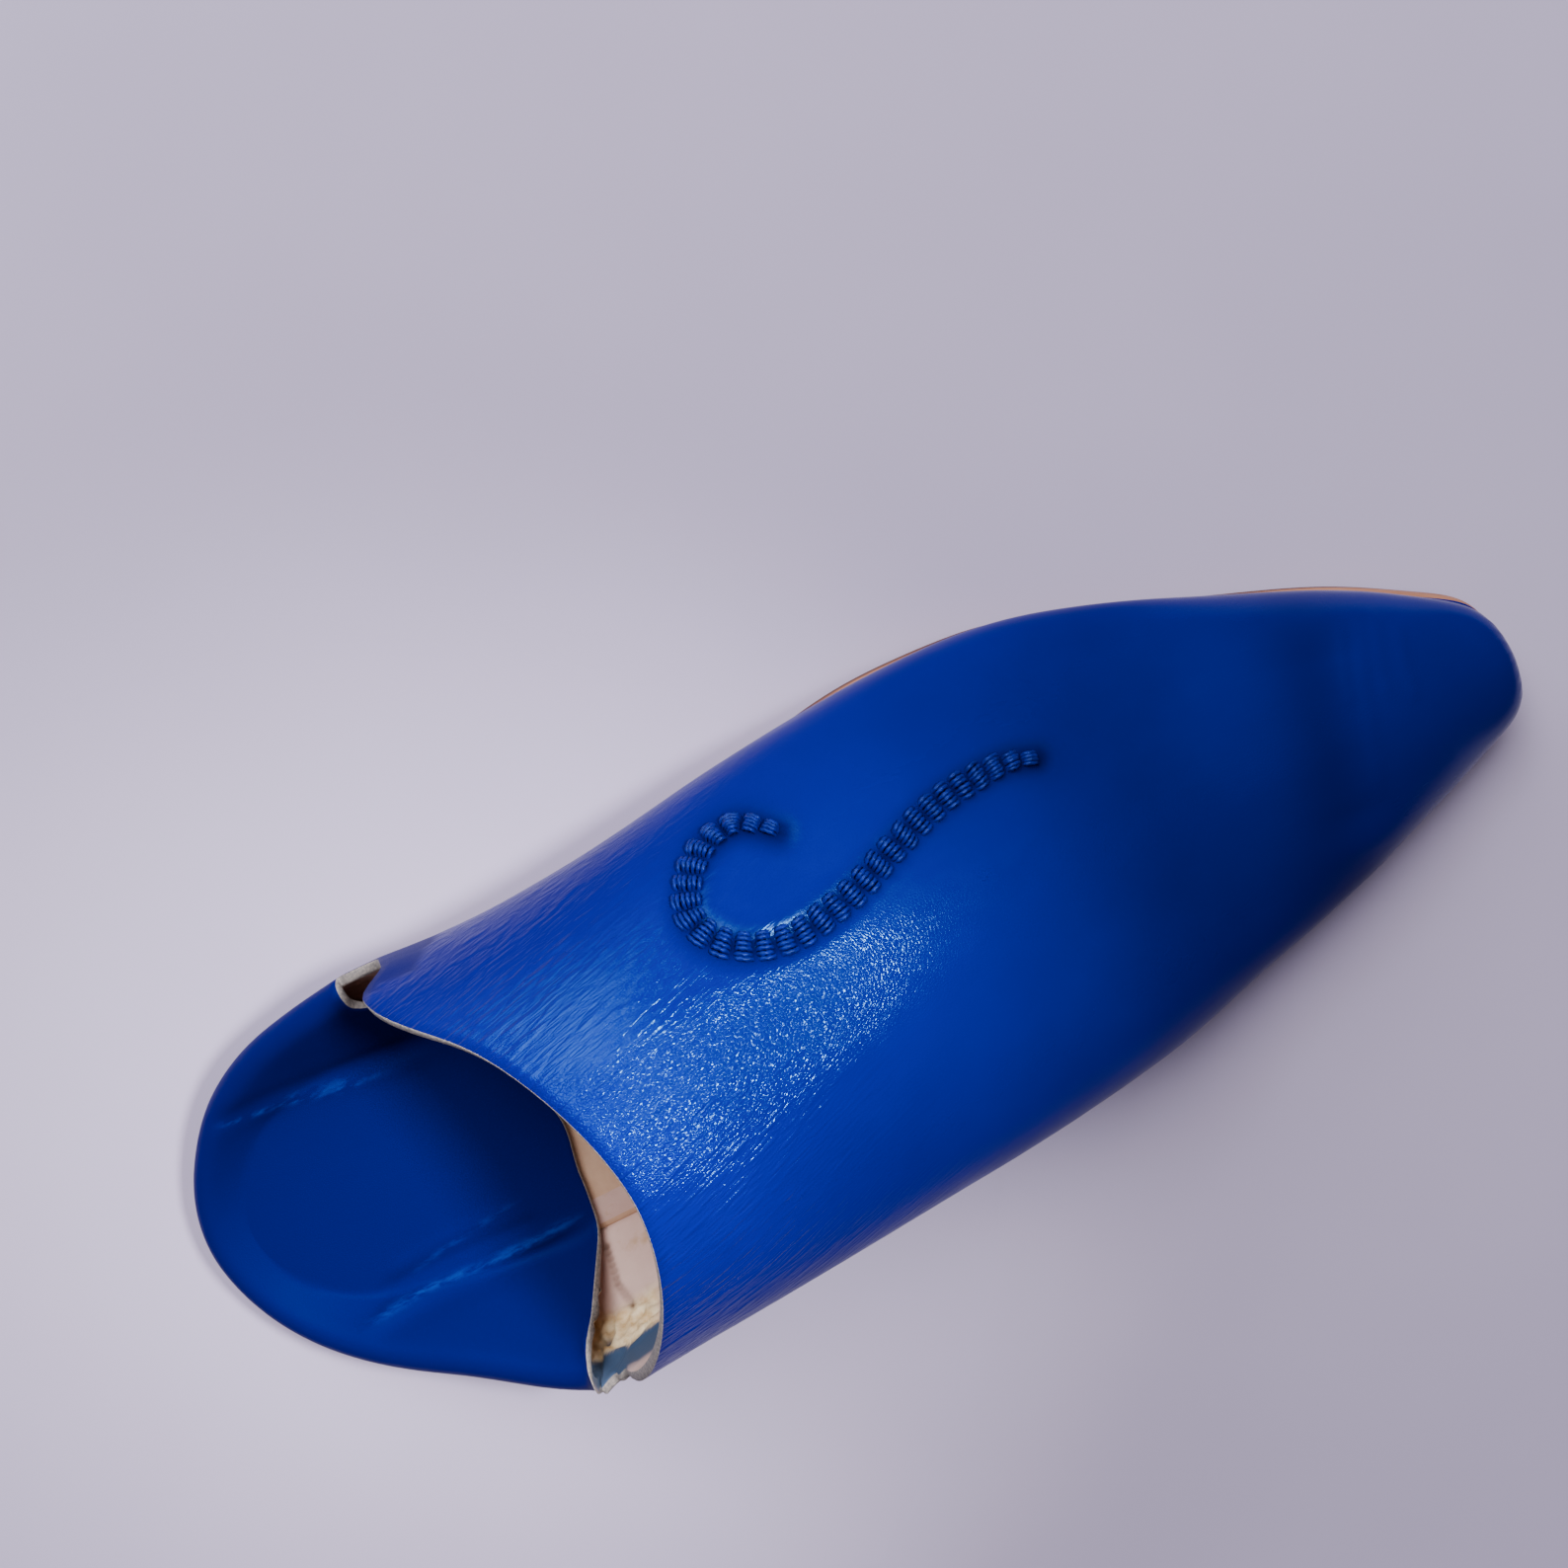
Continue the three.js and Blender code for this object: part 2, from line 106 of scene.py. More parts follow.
class Finish:
    """A small helper that adds nodes and links them by socket name."""

    def __init__(self, name):
        self.material = bpy.data.materials.new(name)
        self.material.use_nodes = True
        self.tree = self.material.node_tree
        self.shader = self.tree.nodes["Principled BSDF"]
        self.place = self.add("ShaderNodeTexCoord").outputs["Object"]

    def add(self, kind, links=None, **values):
        node = self.tree.nodes.new(kind)
        for key, value in values.items():
            setattr(node, key, value)
        for socket, value in (links or {}).items():
            self.put(node.inputs[socket], value)
        return node

    def put(self, socket, value):
        if isinstance(value, bpy.types.NodeSocket):
            self.tree.links.new(value, socket)
        else:
            socket.default_value = value

    def stretched(self, scale, turn=0.0):
        """The place turned about the upright first, then scaled."""
        links = {"Vector": self.place, "Rotation": (0, 0, turn), "Scale": tuple(1 / s for s in scale)}
        return self.add("ShaderNodeMapping", links, vector_type="TEXTURE").outputs["Vector"]

    def noise(self, scale, detail=3.0, rough=0.55, place=None):
        links = {"Vector": place or self.place, "Scale": scale, "Detail": detail, "Roughness": rough}
        return self.add("ShaderNodeTexNoise", links).outputs["Fac"]

    def cells(self, scale, place):
        links = {"Vector": place, "Scale": scale}
        return self.add("ShaderNodeTexVoronoi", links, feature="DISTANCE_TO_EDGE").outputs["Distance"]

    def ramp(self, value, *stops):
        node = self.add("ShaderNodeValToRGB", {"Fac": value})
        elements = node.color_ramp.elements
        while len(elements) < len(stops):
            elements.new(0.5)
        for element, (at, colour) in zip(elements, stops):
            element.position = at
            element.color = (*colour, 1.0)
        return node.outputs["Color"]

    def level(self, value, low, high, to_low=0.0, to_high=1.0):
        links = {"Value": value, "From Min": low, "From Max": high, "To Min": to_low, "To Max": to_high}
        return self.add("ShaderNodeMapRange", links).outputs["Result"]

    def mask(self, name):
        return self.add("ShaderNodeAttribute", attribute_name=name).outputs["Fac"]

    def maths(self, operation, *values):
        node = self.add("ShaderNodeMath", operation=operation)
        for socket, value in zip(node.inputs, values):
            self.put(socket, value)
        return node.outputs["Value"]

    def blend(self, factor, a, b):
        node = self.add("ShaderNodeMix", data_type="RGBA")
        self.put(node.inputs["Factor"], factor)
        for socket, value in ((node.inputs[6], a), (node.inputs[7], b)):
            self.put(socket, (*value, 1.0) if isinstance(value, tuple) else value)
        return node.outputs[2]

    def bump(self, *layers):
        normal = None
        for height, distance, strength in layers:
            node = self.add("ShaderNodeBump", {"Height": height, "Distance": distance, "Strength": strength})
            if normal is not None:
                self.put(node.inputs["Normal"], normal)
            normal = node.outputs["Normal"]
        self.put(self.shader.inputs["Normal"], normal)

    def set(self, **values):
        for key, value in values.items():
            self.put(self.shader.inputs[key.replace("_", " ")], value)


def blue_hide():
    """Glazed hide: fine grain and drawn rows near the collar, duller sides, painted shade on the folded back,
    behind the toe and beside the stitches, and painted highlight streaks along the folds of the folded back.
    """
    f = Finish("blue_hide")
    painted_shade, stitch_shade, dull = f.mask("painted_shade"), f.mask("stitch_shade"), f.mask("dull")
    tone = f.noise(22.0, 4.0)
    colour = f.ramp(tone, (0.3, (0.0002, 0.0016, 0.118)), (0.7, (0.0002, 0.0026, 0.156)))
    # painted shade: the folded back and the dip behind the toe are darkened
    colour = f.blend(painted_shade, colour, (0.0002, 0.0008, 0.085))
    # painted shade on the hide under and beside the stitched band
    colour = f.blend(stitch_shade, colour, (0.0002, 0.0008, 0.04))
    # painted highlight: streaks of lighter blue along the flap's folds, broken up by noise
    scratch = f.noise(900.0, 3.0, 0.6, f.stretched((0.3, 1.0, 1.0)))
    highlight_streak = f.maths("MULTIPLY", f.mask("crease_highlight"), f.level(scratch, 0.42, 0.62))
    f.put(f.shader.inputs["Base Color"], f.blend(highlight_streak, colour, (0.012, 0.06, 0.36)))

    pull = f.noise(300.0, 3.0, 0.6, f.stretched((0.3, 1.0, 1.0)))
    rough = f.maths("MULTIPLY_ADD", painted_shade, 0.2, f.level(pull, 0.3, 0.7, 0.18, 0.25))
    f.put(f.shader.inputs["Roughness"], f.maths("MULTIPLY_ADD", dull, 0.1, rough))
    shine = f.maths("MULTIPLY", f.level(painted_shade, 0.0, 1.0, 0.42, 0.26), f.level(stitch_shade, 0.3, 0.8, 1.0, 0.1))
    shine = f.maths("MULTIPLY", shine, f.level(dull, 0.0, 1.0, 1.0, 0.12))
    f.put(f.shader.inputs["Specular IOR Level"], shine)
    f.set(Specular_Tint=(0.14, 0.46, 1.0, 1.0))

    grain = f.level(f.cells(2600.0, f.stretched((0.7, 1.0, 1.0))), 0.0, 0.28)
    grain = f.maths("MULTIPLY", grain, f.mask("grain"))
    row = f.noise(900.0, 2.0, 0.5, f.stretched((0.12, 1.0, 0.3), ROW_TURN))
    ridge = f.maths("MULTIPLY", f.maths("ABSOLUTE", f.maths("SUBTRACT", row, 0.5)), f.mask("drawn"))
    f.bump((pull, 0.0002, 0.16), (ridge, 0.0012, 0.7), (grain, 0.00008, 0.55))
    return f.material


def cream_lining():
    f = Finish("cream_lining")
    tone = f.noise(60.0, 5.0, 0.6)
    colour = f.ramp(tone, (0.3, (0.50, 0.33, 0.28)), (0.7, (0.64, 0.46, 0.40)))
    colour = f.blend(f.level(f.noise(160.0, 4.0), 0.58, 0.74), colour, (0.42, 0.27, 0.15))
    smear = f.ramp(f.noise(420.0, 4.0, 0.6), (0.35, (0.55, 0.36, 0.16)), (0.65, (0.80, 0.66, 0.42)))
    colour = f.blend(f.mask("glue"), colour, smear)
    # painted shade: dark brown along the fold in the lining
    colour = f.blend(f.mask("painted_fold_shade"), colour, (0.10, 0.045, 0.02))
    # grey-blue: the blue hide seen through the glue hole, and painted shade inside the fold of the right
    # corner
    colour = f.blend(f.mask("hole_and_corner_shade"), colour, (0.03, 0.06, 0.12))
    f.put(f.shader.inputs["Base Color"], colour)
    f.put(f.shader.inputs["Roughness"], f.level(f.mask("glue"), 0.0, 1.0, 0.75, 0.38))
    f.set(Specular_IOR_Level=0.3, Sheen_Weight=0.05)
    f.bump((f.noise(1500.0, 4.0, 0.65), 0.00012, 0.5), (f.noise(240.0, 3.0), 0.0004, 0.25))
    return f.material


def raw_edge():
    f = Finish("raw_edge")
    fibre = f.noise(1800.0, 4.0, 0.7)
    colour = f.ramp(fibre, (0.3, (0.10, 0.10, 0.105)), (0.7, (0.33, 0.29, 0.26)))
    f.put(f.shader.inputs["Base Color"], colour)
    f.set(Roughness=0.85, Specular_IOR_Level=0.2)
    f.bump((fibre, 0.0002, 0.7))
    return f.material


def tan_insole():
    f = Finish("tan_insole")
    tone = f.noise(90.0, 5.0, 0.6)
    colour = f.ramp(tone, (0.3, (0.44, 0.26, 0.16)), (0.7, (0.60, 0.40, 0.27)))
    f.put(f.shader.inputs["Base Color"], colour)
    f.set(Roughness=0.72, Specular_IOR_Level=0.3)
    f.bump((f.noise(1300.0, 4.0, 0.65), 0.00012, 0.5))
    return f.material


def stout_bottom():
    f = Finish("stout_bottom")
    sweep = f.noise(26.0, 3.0, 0.5, f.stretched((1.0, 0.5, 1.0)))
    colour = f.ramp(sweep, (0.35, (0.40, 0.13, 0.13)), (0.65, (0.52, 0.22, 0.20)))
    colour = f.blend(f.mask("channel"), colour, (0.16, 0.05, 0.04))
    f.put(f.shader.inputs["Base Color"], colour)
    f.put(f.shader.inputs["Roughness"], f.level(sweep, 0.3, 0.7, 0.42, 0.58))
    f.set(Specular_IOR_Level=0.4)
    f.bump((f.noise(900.0, 4.0, 0.6), 0.0001, 0.4))
    return f.material


def cut_side():
    f = Finish("cut_side")
    streak = f.noise(300.0, 4.0, 0.65, f.stretched((0.2, 0.2, 1.6)))
    colour = f.ramp(streak, (0.3, (0.30, 0.12, 0.06)), (0.7, (0.46, 0.22, 0.13)))
    colour = f.blend(f.mask("lower"), colour, (0.10, 0.035, 0.02))
    f.put(f.shader.inputs["Base Color"], colour)
    f.set(Roughness=0.7, Specular_IOR_Level=0.3)
    f.bump((streak, 0.0003, 0.5))
    return f.material


def navy_thread():
    f = Finish("navy_thread")
    tone = f.noise(1500.0, 3.0, 0.6)
    colour = f.ramp(tone, (0.35, (0.0008, 0.0018, 0.070)), (0.7, (0.004, 0.008, 0.16)))
    f.put(f.shader.inputs["Base Color"], colour)
    f.set(Roughness=0.42, Specular_IOR_Level=0.38, Specular_Tint=(0.2, 0.42, 1.0, 1.0))
    f.bump((f.noise(6000.0, 2.0, 0.6), 0.00006, 0.5))
    return f.material


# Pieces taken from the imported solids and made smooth
WELD = 2e-6  # metres, corners closer than this become one
NO_PANEL = 9.0  # worse than any pair of triangles


def fault(edge):
    """How far the two triangles beside an edge are from making a square panel."""
    if len(edge.link_faces) != 2:
        return NO_PANEL
    a, b = (next(v for v in face.verts if v not in edge.verts) for face in edge.link_faces)
    cross, along = a.co - b.co, edge.verts[1].co - edge.verts[0].co
    if cross.length == 0:
        return NO_PANEL
    return abs(math.log(cross.length / along.length)) + abs(cross.normalized().dot(along.normalized()))


def quads_of(node):
    """The solid as one mesh of quads. In a split grid the next panel's diagonal leaves from the
    corner of the shared side that the last diagonal doesn't touch."""
    shape = bmesh.new()
    shape.from_mesh(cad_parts[node].data)
    bmesh.ops.remove_doubles(shape, verts=shape.verts, dist=WELD)
    shape.edges.ensure_lookup_table()
    first = min(shape.edges, key=fault)
    queue = [(0.0, first.index)]
    paired, diagonals = set(), []
    while queue:
        _, at = heapq.heappop(queue)
        diagonal = shape.edges[at]
        if len(diagonal.link_faces) != 2 or any(face in paired for face in diagonal.link_faces):
            continue
        paired.update(diagonal.link_faces)
        diagonals.append(diagonal)
        for face in diagonal.link_faces:
            for side in face.edges:
                for other in side.link_faces:
                    if side is diagonal or other in paired:
                        continue
                    corner = next(v for v in side.verts if v not in diagonal.verts)
                    following = next(e for e in other.edges if e is not side and corner in e.verts)
                    heapq.heappush(queue, (fault(following), following.index))
    bmesh.ops.dissolve_edges(shape, edges=diagonals, use_verts=False)
    shape.faces.ensure_lookup_table()
    return shape


def two_skins(edge):
    return len({face.material_index for face in edge.link_faces}) > 1


def keep_edges(shape, angle, amount, between_skins=False):
    """Edges bent by more than the angle stay crisp; a bend within one skin is kept only faintly."""
    layer = shape.edges.layers.float.new("crease_edge")
    for edge in shape.edges:
        if len(edge.link_faces) == 2 and edge.calc_face_angle() > math.radians(angle):
            edge[layer] = 0.3 if between_skins and not two_skins(edge) else amount
        elif two_skins(edge):
            edge[layer] = 1.0


def smoothed(shape, name, levels):
    mesh = bpy.data.meshes.new(name)
    shape.to_mesh(mesh)
    shape.free()
    piece = bpy.data.objects.new(name, mesh)
    bpy.context.collection.objects.link(piece)
    soft = piece.modifiers.new("soft", "SUBSURF")
    soft.levels = soft.render_levels = levels
    fine = bpy.data.meshes.new_from_object(piece.evaluated_get(bpy.context.evaluated_depsgraph_get()))
    piece.modifiers.clear()
    piece.data = fine
    fine.name = name
    bpy.data.meshes.remove(mesh)
    for face in fine.polygons:
        face.use_smooth = True
    return piece


def paint(piece, name, value):
    layer = piece.data.attributes.new(name, "FLOAT", "POINT")
    layer.data.foreach_set("value", [value(*shoe_mm(v.co)) for v in piece.data.vertices])


def dress(piece, node, *materials):
    for material in materials:
        piece.data.materials.append(material)
    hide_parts(node)
    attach(piece, "root")


# Upper
HIDE, LINING, RAW = 0, 1, 2
EDGE_BEND = 52  # degrees, a sharper bend ends the blue face


def sort_skins(shape):
    """Marks the blue face, the lining and the cut edges between them."""
    start = min(shape.faces, key=lambda face: (face.calc_center_median() - on_shoe(150, 0, 60)).length)
    for face in shape.faces:
        face.material_index = LINING
    seen = {start}
    queue = [start]
    while queue:
        face = queue.pop()
        face.material_index = HIDE
        for edge in face.edges:
            for other in edge.link_faces:
                if other not in seen and edge.calc_face_angle(3.0) < math.radians(EDGE_BEND):
                    seen.add(other)
                    queue.append(other)
    for face in shape.faces:
        if face in seen:
            continue
        beside = any(other in seen for edge in face.edges for other in edge.link_faces)
        x, y, z = shoe_mm(face.calc_center_median())
        outward = Vector((face.normal.x, face.normal.y)).dot(Vector((x - 125, y)))
        low = z < ROOT_TOP + 1.6 and (outward > 0.3 or face.normal.z < -0.8) and face.normal.z < 0.3
        if beside or (low and z < ROOT_TOP + 1.2 and abs(face.normal.z) > 0.8) or (low and z < ROOT_TOP):
            face.material_index = RAW


# Stitched band: the middle line of its hook and tail, seen from above.
BAND_LINE = spline([(138, 30.9), (132.4, 34.5), (125.6, 33.4), (121.6, 27.6), (125.4, 21.3), (133.2, 18),
                    (142.8, 18.6), (151.6, 21.1), (160.9, 23.4), (171.4, 23.4), (177.6, 21.2)], 8)
BAND_WIDE = 4.4
BAND_BLOCKS = 30
BAND_ENDS = (0.50, 0.68, 0.84, 0.94)  # shares of the width, from either tip inwards
HOOK_MIDDLE = (131, 26.5)

# Soft folds pressed into the hide: line, width and height. A trough is negative.
FLAP_FOLDS = [
    ([(20.9, -22.7), (35.1, -22.8), (52.7, -24.1), (70, -23.9)], 1.0, 0.6),
    ([(24, -25.0), (35, -25.0), (54, -26.2), (68, -26.1)], 1.3, -0.22),
    ([(24, -19.9), (36, -19.4), (50, -19.8), (63, -20.2)], 1.3, -0.4),
    ([(28, -17.2), (42, -15.8), (58, -15.4)], 1.4, 0.22),
    ([(20, 21.6), (33.1, 20.7), (42, 18.7), (50.5, 17.2), (62, 16.6)], 1.5, 0.3),
    ([(16, 24.2), (30, 23.4), (46, 21.2), (60, 20)], 2.0, -0.45),
]
# Painted highlight streaks along the flap's folds: line, width and strength.
CREASE_HIGHLIGHTS = [
    ([(18.5, 23.6), (24, 22.2), (33, 20.2), (42, 18.4), (53, 16.6)], 0.5, 0.34),
    ([(30, 21.2), (36, 19.9), (46, 18.0)], 1.2, 0.24),
    ([(20.9, -22.4), (35.1, -22.5), (52.7, -23.8), (72, -23.6)], 0.55, 0.32),
    ([(48, -23.0), (58, -23.6), (70, -23.2)], 0.8, 0.25),
    ([(33, -19.2), (44, -17.2), (62, -14.8)], 0.5, 0.18),
]
VAMP_FOLDS = [
    ([(229, 18.5), (225.4, 6), (222.6, -6), (219.5, -20)], 6.5, -1.05),
    ([(235.5, 16), (230.2, 6), (227.6, -3), (225.4, -14)], 1.3, 0.12),
    ([(238.4, 15.5), (234.4, 8), (232.4, 1)], 1.0, 0.1),
    ([(232.4, 17), (228.6, 9), (226.6, 3)], 0.9, 0.1),
    ([(241, 12), (238, 6), (236.6, -2)], 1.1, 0.1),
]


def around_band(x, y):
    return 112 < x < 188 and 8 < y < 44


def from_hook(x, y):
    return math.hypot(x - HOOK_MIDDLE[0], y - HOOK_MIDDLE[1])


def fold_height(x, y, folds):
    height = 0.0
    for points, width, amount in folds:
        gap, at = along_line(x, y, points)
        if gap < 3 * width:
            height += amount * bell(gap, width) * ease(at / 0.18) * ease((1 - at) / 0.18)
    return height


# Painted highlight along the flap's folds.
def crease_highlight_mask(x, y, z):
    if not is_flap(x, y, z):
        return 0.0
    most = 0.0
    for line, wide, much in CREASE_HIGHLIGHTS:
        gap, at = along_line(x, y, line)
        most = max(most, much * bell(gap, wide) * ease(4 * at) * ease(4 - 4 * at))
    return most


def band_height(x, y):
    """The hide is drawn in under the stitches and puckers up beside them."""
    if not around_band(x, y):
        return 0.0
    gap, at = along_line(x, y, BAND_LINE)
    pucker = 0.75 + 0.25 * math.cos(at * BAND_BLOCKS * 2 * math.pi)
    hook_side = 2.3 if 0.14 < at < 0.62 and from_hook(x, y) < 8 else 1.0
    beyond = 1.2 if at < 0.01 or at > 0.92 else 1.0
    return -0.5 * bell(gap, 2.1) + 0.12 * hook_side * beyond * pucker * bell(gap - 3.0, 0.85)


def is_flap(x, y, z):
    return x < FLAP_END and z < FLAP_TOP + max(0.0, abs(y) - 24) * 2.0


def wave(x, y, z):
    """Slow unevenness of the hide between its fixed edges."""
    at = Vector((x * 0.020, y * 0.035, z * 0.02))
    return 0.35 * noise.noise(at) + 0.12 * noise.noise(at * 3.1)


def hide_height(x, y, z):
    if is_flap(x, y, z):
        return fold_height(x, y, FLAP_FOLDS) + 0.5 * wave(x, y, z)
    top = fold_height(x, y, VAMP_FOLDS) if x > 205 else 0.0
    return top + band_height(x, y) + wave(x, y, z) * ease((z - ROOT_TOP) / 8)


def refine(piece, wanted):
    """Splits the hide's faces once more where its folds are narrow."""
    shape = bmesh.new()
    shape.from_mesh(piece.data)
    picked = set()
    for face in shape.faces:
        if wanted(face.material_index, *shoe_mm(face.calc_center_median())):
            picked.update(face.edges)
    bmesh.ops.subdivide_edges(shape, edges=list(picked), cuts=1, use_grid_fill=True, smooth=1.0)
    for face in shape.faces:
        face.smooth = True
    shape.to_mesh(piece.data)
    shape.free()


def settle_corners(piece):
    """Draws the folded back under the vamp on the left, shapes its rolled end and fills the right slit.
    Each move fades in and out between places on the shoe, so that no crease shows where it ends."""
    for vertex in piece.data.vertices:
        x, y, z = shoe_mm(vertex.co)
        push = lift = 0.0
        if 48 < x < 80 and 7.2 < z < 27 and -16 < y < 34:
            reach = 2.0 * ease((y + 16) / 12) + 4.5 * ease((y - 12) / 10)
            push += reach * ease((x - 48) / 20) * (1 - ease((y - 29.5) / 4))
        if 60 < x < 84 and y > 24 and z > 22:
            push += 5.5 * ease((z - 23) / 4) * (1 - ease((x - 61) / 22)) * ease((x - 59.5) / 2)
        if x < 100 and y > 16 and 35 < z < 68:
            level = ease((z - 35) / 9.5) * (1 - ease((z - 46) / 22))
            push -= 5.6 * level * (1 - ease((x - 68) / 32)) * ease((y - 16) / 8)
        if 60 < x < 76 and y < -34 and z > 18:
            lift += 4.4 * ease((z - 18) / 9) * ease((x - 65.4) / 1.4) * (1 - ease((x - 69.6) / 2.6))
        vertex.co += Vector((push, 0, lift)) * MM


def glued(skin, x, y, z):
    return skin == LINING and 62 < x < 82 and y < -27 and 6 < z < 38


def narrow_folds(skin, x, y, z):
    if skin != HIDE:
        return glued(skin, x, y, z)
    on_flap = is_flap(x, y, z) and x > 8 and z < FLAP_TOP
    near_band = around_band(x, y) and z > 20 and along_line(x, y, BAND_LINE)[0] < 7
    return on_flap or near_band or 217 < x < 242


def press_folds(piece):
    mesh = piece.data
    on_hide = {v for face in mesh.polygons if face.material_index == HIDE for v in face.vertices}
    edge = {v for face in mesh.polygons if face.material_index != HIDE for v in face.vertices}
    normals = [v.normal.copy() for v in mesh.vertices]
    for i in on_hide - edge:
        vertex = mesh.vertices[i]
        vertex.co += normals[i] * hide_height(*shoe_mm(vertex.co)) * MM
    for i in edge - on_hide:
        vertex = mesh.vertices[i]
        x, y, z = shoe_mm(vertex.co)
        if 10 < x < 70 and abs(y) < 29 and 7.1 < z < 14:
            vertex.co -= normals[i] * fold_height(x, y, FLAP_FOLDS) * MM


# Inside the right corner: a fold in the lining with painted shade along it, wrinkled glue with a hole that
# shows the blue hide, and a band of painted shade inside the corner's fold.
LINING_FOLD_LINE = [Vector(p) for p in ((69.3, -30.6, 9.4), (69.7, -35.7, 14.6), (72.1, -38.5, 19.6))]
GLUE_HOLE = Vector((66.9, -40.9, 25.0))


# A fold in the lining: it is pressed in and painted dark brown as shade along it.
def lining_fold_mask(x, y, z):
    if not (66 < x < 76 and y < -28):
        return 0.0
    spot = Vector((x, y, z))
    return max(bell((spot - a.lerp(b, k / 6)).length, 0.7)
               for a, b in zip(LINING_FOLD_LINE, LINING_FOLD_LINE[1:]) for k in range(7))


def glue_mask(x, y, z):
    upright = ease((z - 17) / 4) * (1 - ease((z - 28) / 2))
    return upright * ease((x - 60) / 4) * (1 - ease((x - 76) / 4)) * (y < -30)


# Grey-blue: the blue hide showing through the glue hole, and a band of painted shade inside the fold of the
# right corner.
def hole_and_corner_shade_mask(x, y, z):
    hole = bell((Vector((x, y, z)) - GLUE_HOLE).length, 1.1)
    return max(hole, ease((z - 27.4) / 1.2) * (1 - ease((z - 36) / 4)) * (63 < x < 80) * (y < -30))


def press_glue(piece):
    mesh = piece.data
    inner = {v for face in mesh.polygons if face.material_index == LINING for v in face.vertices}
    normals = [v.normal.copy() for v in mesh.vertices]
    for i in inner:
        vertex = mesh.vertices[i]
        x, y, z = shoe_mm(vertex.co)
        if 60 < x < 82 and y < -27:
            at = Vector((x * 0.32, y * 0.3, z * 0.5))
            crumple = 1 - 3 * abs(noise.noise(at)) + 0.5 * noise.noise(at * 2.3)
            depth = 0.55 * crumple * glue_mask(x, y, z) - 0.5 * lining_fold_mask(x, y, z)
            depth -= 1.1 * bell((Vector((x, y, z)) - GLUE_HOLE).length, 1.1)
            vertex.co += normals[i] * depth * MM


def make_upper():
    shape = quads_of("upper")
    sort_skins(shape)
    keep_edges(shape, 38, 0.75, between_skins=True)
    piece = smoothed(shape, "upper_hide", 2)
    refine(piece, narrow_folds)
    refine(piece, glued)
    settle_corners(piece)
    press_folds(piece)
    press_glue(piece)
    masks = {"stitch_shade": stitch_shade_mask, "painted_shade": painted_shade_mask, "grain": grain_mask, "dull": dull_mask,
             "crease_highlight": crease_highlight_mask, "glue": glue_mask, "hole_and_corner_shade": hole_and_corner_shade_mask, "painted_fold_shade": lining_fold_mask,
             "drawn": drawn_mask}
    for name, mask in masks.items():
        paint(piece, name, mask)
    dress(piece, "upper", blue_hide(), cream_lining(), raw_edge())
    return piece


# Painted shade on the hide under and beside the stitched band.
def stitch_shade_mask(x, y, z):
    return bell(along_line(x, y, BAND_LINE)[0], 2.3) if around_band(x, y) else 0.0


def drawn_mask(x, y, z):
    """The hide is drawn into fine rows towards the collar."""
    return 0.0 if is_flap(x, y, z) else ease((150 - x) / 60)


def grain_mask(x, y, z):
    """The grain is open along the crest near the collar, and pressed smooth inside the hook, on the toe
    and on the folded back."""
    if is_flap(x, y, z):
        return 0.3
    hook = 1 - ease((from_hook(x, y) - 5.5) / 3.5)
    crest = 1 - 0.7 * max(ease((y - 13 - (110 - x) * 0.1) / 7), ease((3 - y) / 8))
    return (0.28 + 0.72 * ease((165 - x) / 45)) * crest * (1 - 0.8 * hook)


def dull_mask(x, y, z):
    """The hide has kept its polish on top of the foot, less so down the sides and on the folded back."""
    return 0.8 if is_flap(x, y, z) else max(ease((y - 23) / 12), ease((-9 - y) / 18))


def painted_shade_mask(x, y, z):
    """Painted shade: the folded back and the dip behind the toe are painted the deepest blue."""
    if x < 195:
        return 1.0 if is_flap(x, y, z) else 0.0
    gap, _ = along_line(x + 4, y, VAMP_FOLDS[0][0])
    return 0.6 * bell(gap, 9)


def make_outsole():
    shape = quads_of("outsole")
    keep_edges(shape, 20, 0.6)
    piece = smoothed(shape, "outsole_hide", 2)
    paint(piece, "channel", lambda x, y, z: bell(z - 0.4, 0.25))
    paint(piece, "lower", lambda x, y, z: 1.0 - ease((z - 2.4) / 0.6))
    dress(piece, "outsole", stout_bottom(), cut_side())
    for face in piece.data.polygons:
        face.material_index = 1 if abs(face.normal.z) < 0.9 and face.center.z > 0.3 * MM else 0


def make_insole():
    shape = quads_of("insole")
    top = [face for face in shape.faces if face.normal.z > 0.9]
    rim = bmesh.ops.inset_region(shape, faces=top, thickness=5.0 * MM, use_even_offset=False)["faces"]
    for face in rim:
        face.material_index = 1
    for vertex in shape.verts:
        if any(abs(face.normal.z) < 0.7 for face in vertex.link_faces):
            flat = Vector((vertex.normal.x, vertex.normal.y, 0))
            vertex.co += flat.normalized() * 0.9 * MM if flat.length > 0.1 else Vector()
    keep_edges(shape, 30, 0.5)
    piece = smoothed(shape, "insole_hide", 1)
    dress(piece, "insole", tan_insole(), cream_lining())


# Stitched band: half a thread's thickness, how high a block's middle threads stand and how deep all dive.
THREAD = 0.35
THREAD_RISE = 0.68
THREAD_DIVE = 0.65
BAND_LIFT = 0.45  # the band's middle above the hide
ABOVE_ALL = 150


